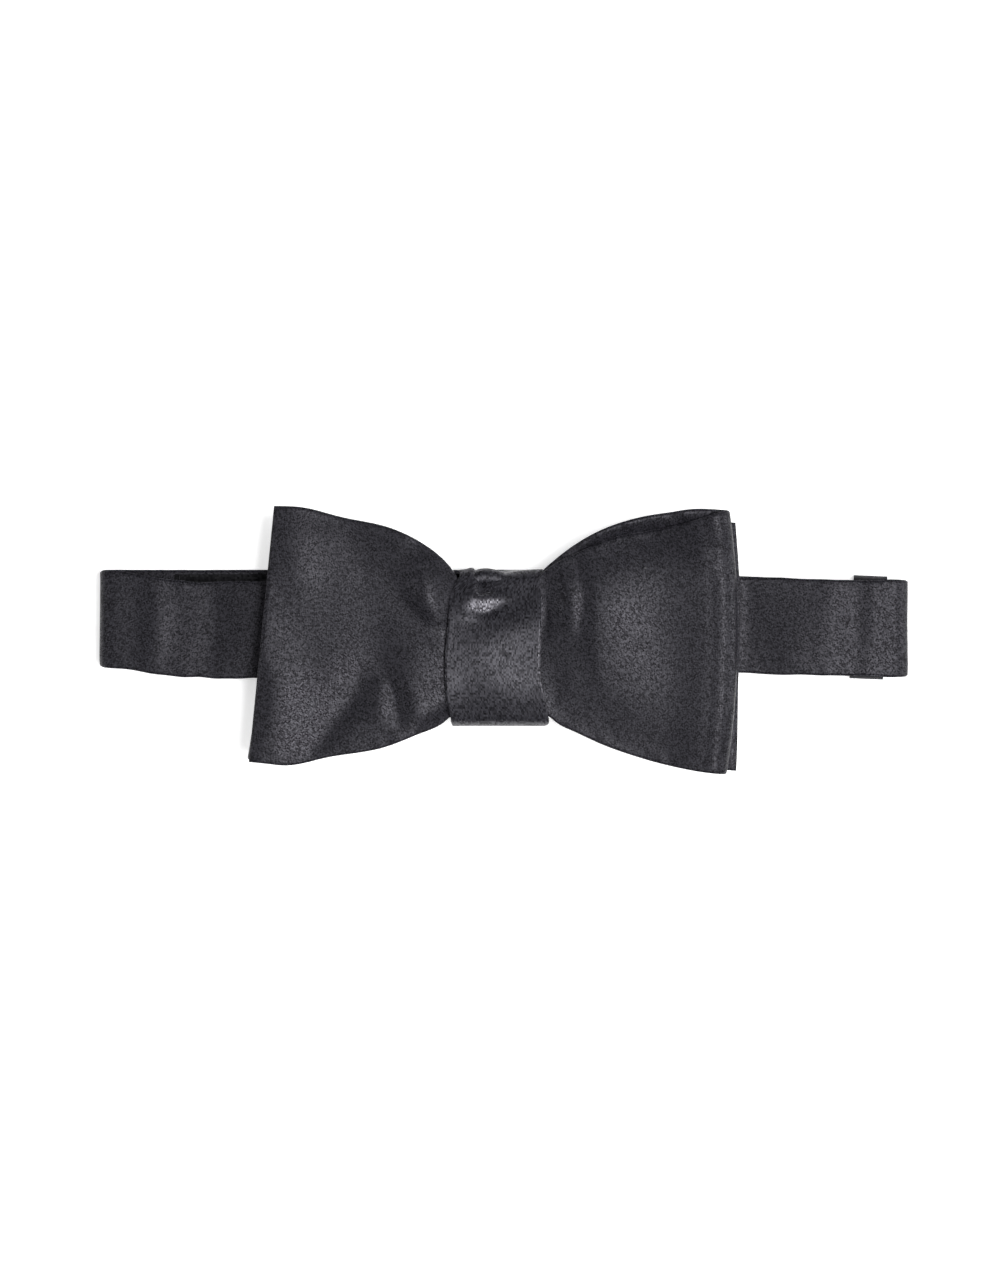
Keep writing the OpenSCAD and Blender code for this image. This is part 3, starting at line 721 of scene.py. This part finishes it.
# --- Neckband, front --------------------------------------------------------
# A narrow lined tube of the same satin runs behind the bow, through the knot, and folds
# over at both ends.
band_width = 23.5
band_half = 0.58
band_seam = 0.6
fold_centre = 94.8
fold_radius = 3.1
front_level, back_level = 6.8, 0.6
join_at = 50.0
band_columns = 34
band_middle = band_columns // 2
open_ends = (False, False)
left_front_y = [(-98, 5.0), (-94.5, 5.0), (-84.5, 3.4), (-77, 2.6), (-60, 2.45), (-15.5, 2.4), (-8, 2.8),
                (0, 3), (8, 3.2), (15.5, 3.6), (94.5, 2.8), (99, 2.8)]
band_satin = cloth_material("band_satin", satin_dark, satin_light, grain=0.55, dust=0.2, specular=0.17)


def band_grid(path, middle_y, width=band_width, columns=band_columns):
    """The middle surface of a band, in mm, along a path of [x, z] rows; middle_y gives y for each x, z."""
    path = np.array(path, float)
    v = across(columns)[None, :]
    half = np.broadcast_to(np.asarray(width, float) / 2, (len(path),))[:, None]
    x, z = path[:, [0]], path[:, [1]]
    y = middle_y(x, z) + half * v
    return np.stack([np.repeat(x, columns, axis=1), y, np.repeat(z, columns, axis=1)], axis=-1)


def soften(grid, height, seed, side_pull=0.10, hold=None):
    """Soft unevenness across a band, small pulls at its seams, both fading out where hold is 0."""
    x, y = grid[..., 0], grid[..., 1]
    nearest = edge_distance(grid, open_ends)
    share = 1.0 if hold is None else hold
    wave = waves(x, y * 0.4, 9, 26, height, seed) + pucker(grid, nearest, side_pull, 5.3, seed)
    moved = grid + normals(grid) * (wave * share)[..., None]
    edge_wave = waves(x, x * 0, 5, 17, 0.13, seed + 7) * share
    moved[..., 1] += edge_wave * np.sign(y - y.mean(axis=1, keepdims=True)) * np.exp(-nearest / 4)
    return moved


def front_y(x, z):
    return height_at(x, left_front_y)


def bend(piece):
    """Bakes a piece's transform into its mesh."""
    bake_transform(piece)


def crossing(name, grid, nodes):
    """A lined length of band and its interlining, which take the place of the given CAD nodes."""
    thick = rounded(edge_distance(grid, open_ends), band_half, band_seam)
    skin, lining = lined(name, grid, thick, band_satin, open_ends)
    for made, replaced in zip((skin, lining), nodes):
        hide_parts(*replaced)
        bend(made)


def away_from(x, places, reach=6.0):
    """0 at the given places along x and 1 further away than reach."""
    share = np.ones_like(x)
    for place in places:
        share = share * ramp(np.abs(x - place), 1.0, reach)
    return share


def front_band(x_from, x_to, seed):
    """The front pass of the band between two places along x."""
    xs = np.linspace(x_from, x_to, 90)
    grid = band_grid(np.stack([xs, np.full_like(xs, front_level)], axis=1), front_y)
    outer = grid[..., 0]
    hold = away_from(outer, (x_from, x_to)) * ramp(np.abs(outer), 15, 24)
    return soften(grid, 0.12, seed, 0.06, hold)


crossing("band_front_left", front_band(-join_at, 0, 21),
         (("left_front_satin",), ("left_front_interlining",)))
crossing("band_front_right", front_band(0, join_at, 22),
         (("band_in_knot_satin",), ("band_in_knot_interlining",)))

# --- Neckband, left fold ----------------------------------------------------
# The band turns over at the left end and comes back behind, a little higher, so that its
# back pass shows above its front pass.
left_bend = arc((-fold_centre, (front_level + back_level) / 2), fold_radius, 90, 270, 26)
left_path = smooth_line(
    [(-join_at, front_level), (-64, front_level), (-78, front_level + 0.15), (-88, front_level + 0.1)]
    + left_bend + [(-88, back_level), (-78, back_level), (-64, back_level), (-join_at, back_level)], 230)


fold_back_y = 5.35


def left_y(x, z):
    turned = ramp(z, back_level + 0.2, front_level - 0.2)
    return height_at(x, left_front_y) * turned + fold_back_y * (1 - turned)


def dented(grid, creases, join):
    """A grid with dents in its front pass, which fade out towards the join with the next length."""
    x, y, z = grid[..., 0], grid[..., 1], grid[..., 2]
    dents = sum(crease(x, y, *row) for row in creases)
    z += dents * ramp(z, 4.5, 6.4) * away_from(x, (join,), 10)
    return grid


left_grid = band_grid(left_path, left_y)
near_back = ramp(left_grid[..., 2], 1.0, 3.0)
left_hold = away_from(left_grid[..., 0], (-join_at,)) * (0.12 + 0.88 * near_back)
left_grid = soften(left_grid, 0.12, 31, 0.09, left_hold)
left_grid = dented(left_grid, [
    ([(-86, 16), (-84.5, 6), (-86, -8)], 0.6, 3.2, 3.6),
    ([(-72, 16), (-70, 3), (-72, -8)], -0.35, 3.5),
    ([(-58, 16), (-58, 3), (-58, -8)], 1.0, 5.0, 9.0),
], -join_at)
crossing("band_left_fold", left_grid,
         (("left_fold_satin",), ()))

# --- Neckband, back left ----------------------------------------------------
# The left half of the back pass, a length of the same lined tube. It lies on the table.
back_y_line = 5.4


def back_left_y(x, z):
    return fold_back_y + (back_y_line - fold_back_y) * ramp(x, -40, 0)


back_xs = np.linspace(-join_at, 0, 90)
back_left_grid = band_grid(np.stack([back_xs, np.full_like(back_xs, back_level)], axis=1), back_left_y)
back_left_hold = away_from(back_left_grid[..., 0], (-join_at, 0))
back_left_grid = soften(back_left_grid, 0.03, 41, 0.03, back_left_hold)
crossing("band_back_left", back_left_grid,
         (("left_back_satin",), ("left_back_interlining",)))

# --- Neckband, hook end -----------------------------------------------------
# The right end of the back pass gets thinner, goes round the hook's bar and is sewn down
# on itself.
hook_path = smooth_line(
    [(0, back_level), (8, back_level), (13, 0.55), (15.5, 0.45), (19, 0.45), (22, 0.85)]
    + arc((24.45, 2.2), 1.0, -80, 84, 12) + [(22.4, 2.75), (20.2, 1.72), (18.6, 1.42), (16.6, 1.4)], 150)
lined_length = 11.5
thin_half = 0.37


def part_lined(name, grid, half, unlined, rows):
    """A satin length whose last unlined mm hold no interlining, and its interlining."""
    pocket = inner_grid(grid, 1.2, 0.3, unlined, rows, 9)
    sheet = inner_grid(grid, 1.45, 0.4, unlined + 0.2, rows, 9)
    skin = build(name, [shell(grid, half), shell(pocket, 0.25, inward=True)], band_satin)
    lining = build(name + "_interlining_sheet", [shell(sheet, 0.2)], interlining)
    return skin, lining


hook_grid = band_grid(hook_path, lambda x, z: back_y_line + 0 * x, 23.4)
hook_run = lengths(hook_grid, 0)
hook_half = band_half + (thin_half - band_half) * ramp(hook_run, 11, 17)
hook_half = rounded(edge_distance(hook_grid, (False, True)), hook_half, 0.45)
band_hook_end, lining_hook_end = part_lined(
    "band_hook_end", hook_grid, hook_half, hook_run[-1, band_middle] - lined_length, 24)
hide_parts("hook_end_satin", "back_centre_satin")
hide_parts("back_centre_interlining")
for piece in (band_hook_end, lining_hook_end):
    bend(piece)
hook_rows = [stitch((x_at, back_y_line + y_at, 1.83), (0, 1, 0), 1.25, (0, 0, 1), 0.2)
             for x_at in (17.6, 18.6) for y_at in np.linspace(-10.4, 10.4, 12)]
sewn_row("hook_end_stitches_thread", hook_rows, 0.11, "hook_end", "hook_end_stitches")

# --- Neckband, right fold ---------------------------------------------------
# The right fold narrows, under the front pass, into the thin strap that runs through the
# slide.
strap_width, strap_half = 22.4, 0.29
strap_y = 2.8
right_bend = arc((fold_centre, (front_level + back_level) / 2), fold_radius, 90, -60, 22)
right_path = smooth_line(
    [(join_at, front_level), (64, front_level), (78, front_level + 0.1), (88, front_level + 0.1)]
    + right_bend, 170)
right_turned = ramp(right_path[:, 1], 1.0, 4.5)
right_width = strap_width + (band_width - strap_width) * right_turned


def right_y(x, z):
    return np.where(x < fold_centre, height_at(x, left_front_y), strap_y)


right_grid = band_grid(right_path, right_y, right_width)
right_hold = away_from(right_grid[..., 0], (join_at,)) * ramp(right_grid[..., 2], 1.2, 3.5)
right_grid = soften(right_grid, 0.12, 33, 0.09, right_hold)
right_grid = dented(right_grid, [
    ([(58, 18), (58, 3), (58, -12)], -1.1, 6.5, 6.0),
    ([(80, 16), (79, 3), (80, -9)], 1.0, 4.5, 9.0),
    ([(90, 15), (90, 3), (89, -8)], 0.4, 3.0),
], join_at)
right_half = strap_half + (band_half - strap_half) * ramp(right_grid[..., 2], 1.6, 4.5)
right_half = rounded(edge_distance(right_grid, open_ends), right_half, 0.5)
right_run = lengths(right_grid, 0)[:, band_middle]
before_fold = np.argmax(right_path[:, 0]) - 6
band_right_fold, lining_right_fold = part_lined(
    "band_right_fold", right_grid, right_half, right_run[-1] - right_run[before_fold], 50)
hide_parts("right_fold_satin", "right_front_satin")
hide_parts("right_front_interlining")
for piece in (band_right_fold, lining_right_fold):
    bend(piece)

# --- Strap ------------------------------------------------------------------
# The unlined strap: it weaves through the slide, runs back along the band to the eye,
# turns round the eye's near bar and comes back to be sewn round the slide's middle bar.
strap_slope = math.radians(-2.4)
slide_x, slide_z, slide_step, wire = 88.9, 1.75, 3.7, 0.4
turn_radius = wire + 0.02 + strap_half
under_radius = 1.42


def swung(grid, share=1.0):
    """Turns a grid about the fold's middle, as the clasped end of the band is turned."""
    angle = strap_slope * share
    x, y = grid[..., 0] - fold_centre, grid[..., 1] - strap_y
    out = grid.copy()
    out[..., 0] = fold_centre + x * np.cos(angle) - y * np.sin(angle)
    out[..., 1] = strap_y + x * np.sin(angle) + y * np.cos(angle)
    return out


strap_columns = 24


def strap_cloth(name, path, node, count, share=1.0):
    """A length of the strap along a path of [x, z] points, standing for a CAD node."""
    grid = band_grid(smooth_line(path, count), lambda x, z: strap_y + 0 * x, strap_width, strap_columns)
    grid = swung(grid, share)
    piece = build(name, [shell(grid, rounded(edge_distance(grid, open_ends), strap_half, 0.35))], band_satin)
    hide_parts(node)
    return piece


feed_rows = 24
feed_start, feed_end = (right_path[-1][0], right_path[-1][1]), (93.45, 2.34)
feed_share = np.repeat(np.linspace(0, 1, feed_rows)[:, None], strap_columns, axis=1)
strap_feed = strap_cloth("strap_feed_cloth", [feed_start, (95.3, 1.4), (94.1, 2.1), feed_end], "strap_feed",
                         feed_rows, feed_share)
bend(strap_feed)

cross_angle = 35.3
bars = [slide_x + slide_step, slide_x, slide_x - slide_step]
weave_path = [feed_end]
weave_path += arc((bars[0], slide_z), turn_radius, 58, 90 + cross_angle, 9)[1:]
weave_path += arc((bars[1], slide_z), under_radius, cross_angle - 90, -90 - cross_angle, 14)
weave_path += arc((bars[2], slide_z), turn_radius, 90 - cross_angle, 128, 9)
weave_path += [(83.3, 1.15), (82, 0.45), (80.8, 0.3), (80.2, 0.3)]
strap_weave = strap_cloth("strap_weave_cloth", weave_path, "strap_weave", 110)
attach(strap_weave, "adjuster")

tail_path = [(80.2, 0.95), (80.8, 0.97), (81.6, 1.35), (83.2, 2.35), (84.5, 3.05), (85.5, 3.15), (87.2, 2.9)]
tail_path += arc((bars[1], slide_z), 0.8, 78, -100, 14)
strap_tail = strap_cloth("strap_tail_cloth", tail_path, "strap_tail", 80)
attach(strap_tail, "adjuster")
tail_rows = [swung(stitch((84.6, y_at, 3.4), (0, 1, 0), 1.25, (0, 0, 1), 0.2))
             for y_at in strap_y + np.linspace(-9.9, 9.9, 11)]
sewn_row("tail_stitches_thread", tail_rows, 0.11, "adjuster", "tail_stitches")

run_from, run_to = 41.5, 80.2
low_run, high_run = 0.3, 0.95
for name, node, level in (("strap_lower_cloth", "strap_lower_run", low_run),
                          ("strap_upper_cloth", "strap_upper_run", high_run)):
    run = strap_cloth(name, [(run_from, level), (54, level), (67, level), (run_to, level)], node, 70)
    anchor = swung(np.array([run_from, strap_y, level]))
    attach(run, "right_back")
    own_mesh(run)

eye_bar_x, eye_z = 37.4, 1.3
eye_path = [(run_from, high_run), (40.6, high_run + 0.05), (39.4, 1.5)]
eye_path += arc((eye_bar_x, eye_z), 0.8, 70, 290, 16) + [(39.4, 0.45), (40.6, low_run), (run_from, low_run)]
strap_eye_turn = strap_cloth("strap_eye_cloth", eye_path, "strap_eye_turn", 90)
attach(strap_eye_turn, "right_back")

# --- Label ------------------------------------------------------------------
# A plain matte black woven tape with folded ends, sewn inside the left half of the band's
# back pass.
label_cloth = cloth_material("woven_label_tape", (0.0045, 0.0045, 0.005), (0.012, 0.012, 0.013), pitch=0.0005,
                             float_length=1.0, twill=0.15, dust=0.15, rough=(0.75, 0.9), sheen=0.05,
                             specular=0.12, anisotropy=0.0, bump=0.6)
label_y, label_width = 5.5, 21
label_rows = smooth_line([(-78.6, 1.36), (-79.9, 1.3), (-80.4, 1.42), (-79.9, 1.56), (-78.2, 1.56),
                          (-56, 1.52), (-34.2, 1.56), (-32.4, 1.56), (-31.9, 1.42), (-32.4, 1.3),
                          (-33.8, 1.36)], 150)
label_grid = band_grid(label_rows, lambda x, z: label_y + 0 * x, label_width, 40)
label_thick = rounded(edge_distance(label_grid), 0.075, 0.12, 0.01)
label = build("label_tape", [shell(label_grid, label_thick)], label_cloth)
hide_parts("woven_label")
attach(label, "left_back")
label_seams = [stitch((x_at, label_y + y_at, 1.66), (0, 1, 0), 1.1, (0, 0, 1), 0.14)
               for x_at in (-79.2, -33.2) for y_at in np.linspace(-9.6, 9.6, 13)]
label_row = sewn_row("label_stitches_thread", label_seams, 0.08, "left_back", "label_stitches")

# --- Clasp metal ------------------------------------------------------------
# The hook, the eye and the slide are stamped and bent from wire and sheet, and plated in
# black nickel that is rubbed brighter on the edges.
nickel = bpy.data.materials.new("black_nickel")
nickel.use_nodes = True
nickel_tree = nickel.node_tree
nickel_shader = nickel_tree.nodes["Principled BSDF"]
nickel_shader.inputs["Metallic"].default_value = 1.0
nickel_place = add(nickel_tree, "TexCoord").outputs["Object"]
nickel_edges = add(nickel_tree, "NewGeometry").outputs["Pointiness"]
scratch_noise = add(nickel_tree, "TexNoise", {"Vector": nickel_place, "Scale": 900.0, "Detail": 3.0})
scratches = scratch_noise.outputs["Fac"]
cloud = add(nickel_tree, "TexNoise", {"Vector": nickel_place, "Scale": 160.0})
worn = add(nickel_tree, "MapRange", {"Value": nickel_edges, "From Min": 0.52, "From Max": 0.6})
plate = add(nickel_tree, "Mix", {"Factor": cloud.outputs["Fac"], 6: (0.003, 0.003, 0.0034, 1),
                                 7: (0.007, 0.0068, 0.0074, 1)}, data_type="RGBA")
rubbed = add(nickel_tree, "Mix", {"Factor": worn.outputs[0], 6: plate.outputs[2],
                                  7: (0.018, 0.018, 0.019, 1)}, data_type="RGBA")
nickel_tree.links.new(rubbed.outputs[2], nickel_shader.inputs["Base Color"])
nickel_gloss = add(nickel_tree, "MapRange", {"Value": scratches, "To Min": 0.2, "To Max": 0.42})
nickel_tree.links.new(nickel_gloss.outputs[0], nickel_shader.inputs["Roughness"])
nickel_bump = add(nickel_tree, "Bump", {"Strength": 0.15, "Distance": 0.00003, "Height": scratches})
nickel_tree.links.new(nickel_bump.outputs[0], nickel_shader.inputs["Normal"])
for node in ("hook", "eye_loop", "adjuster_slide"):
    for material_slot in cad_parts[node].material_slots:
        material_slot.material = nickel
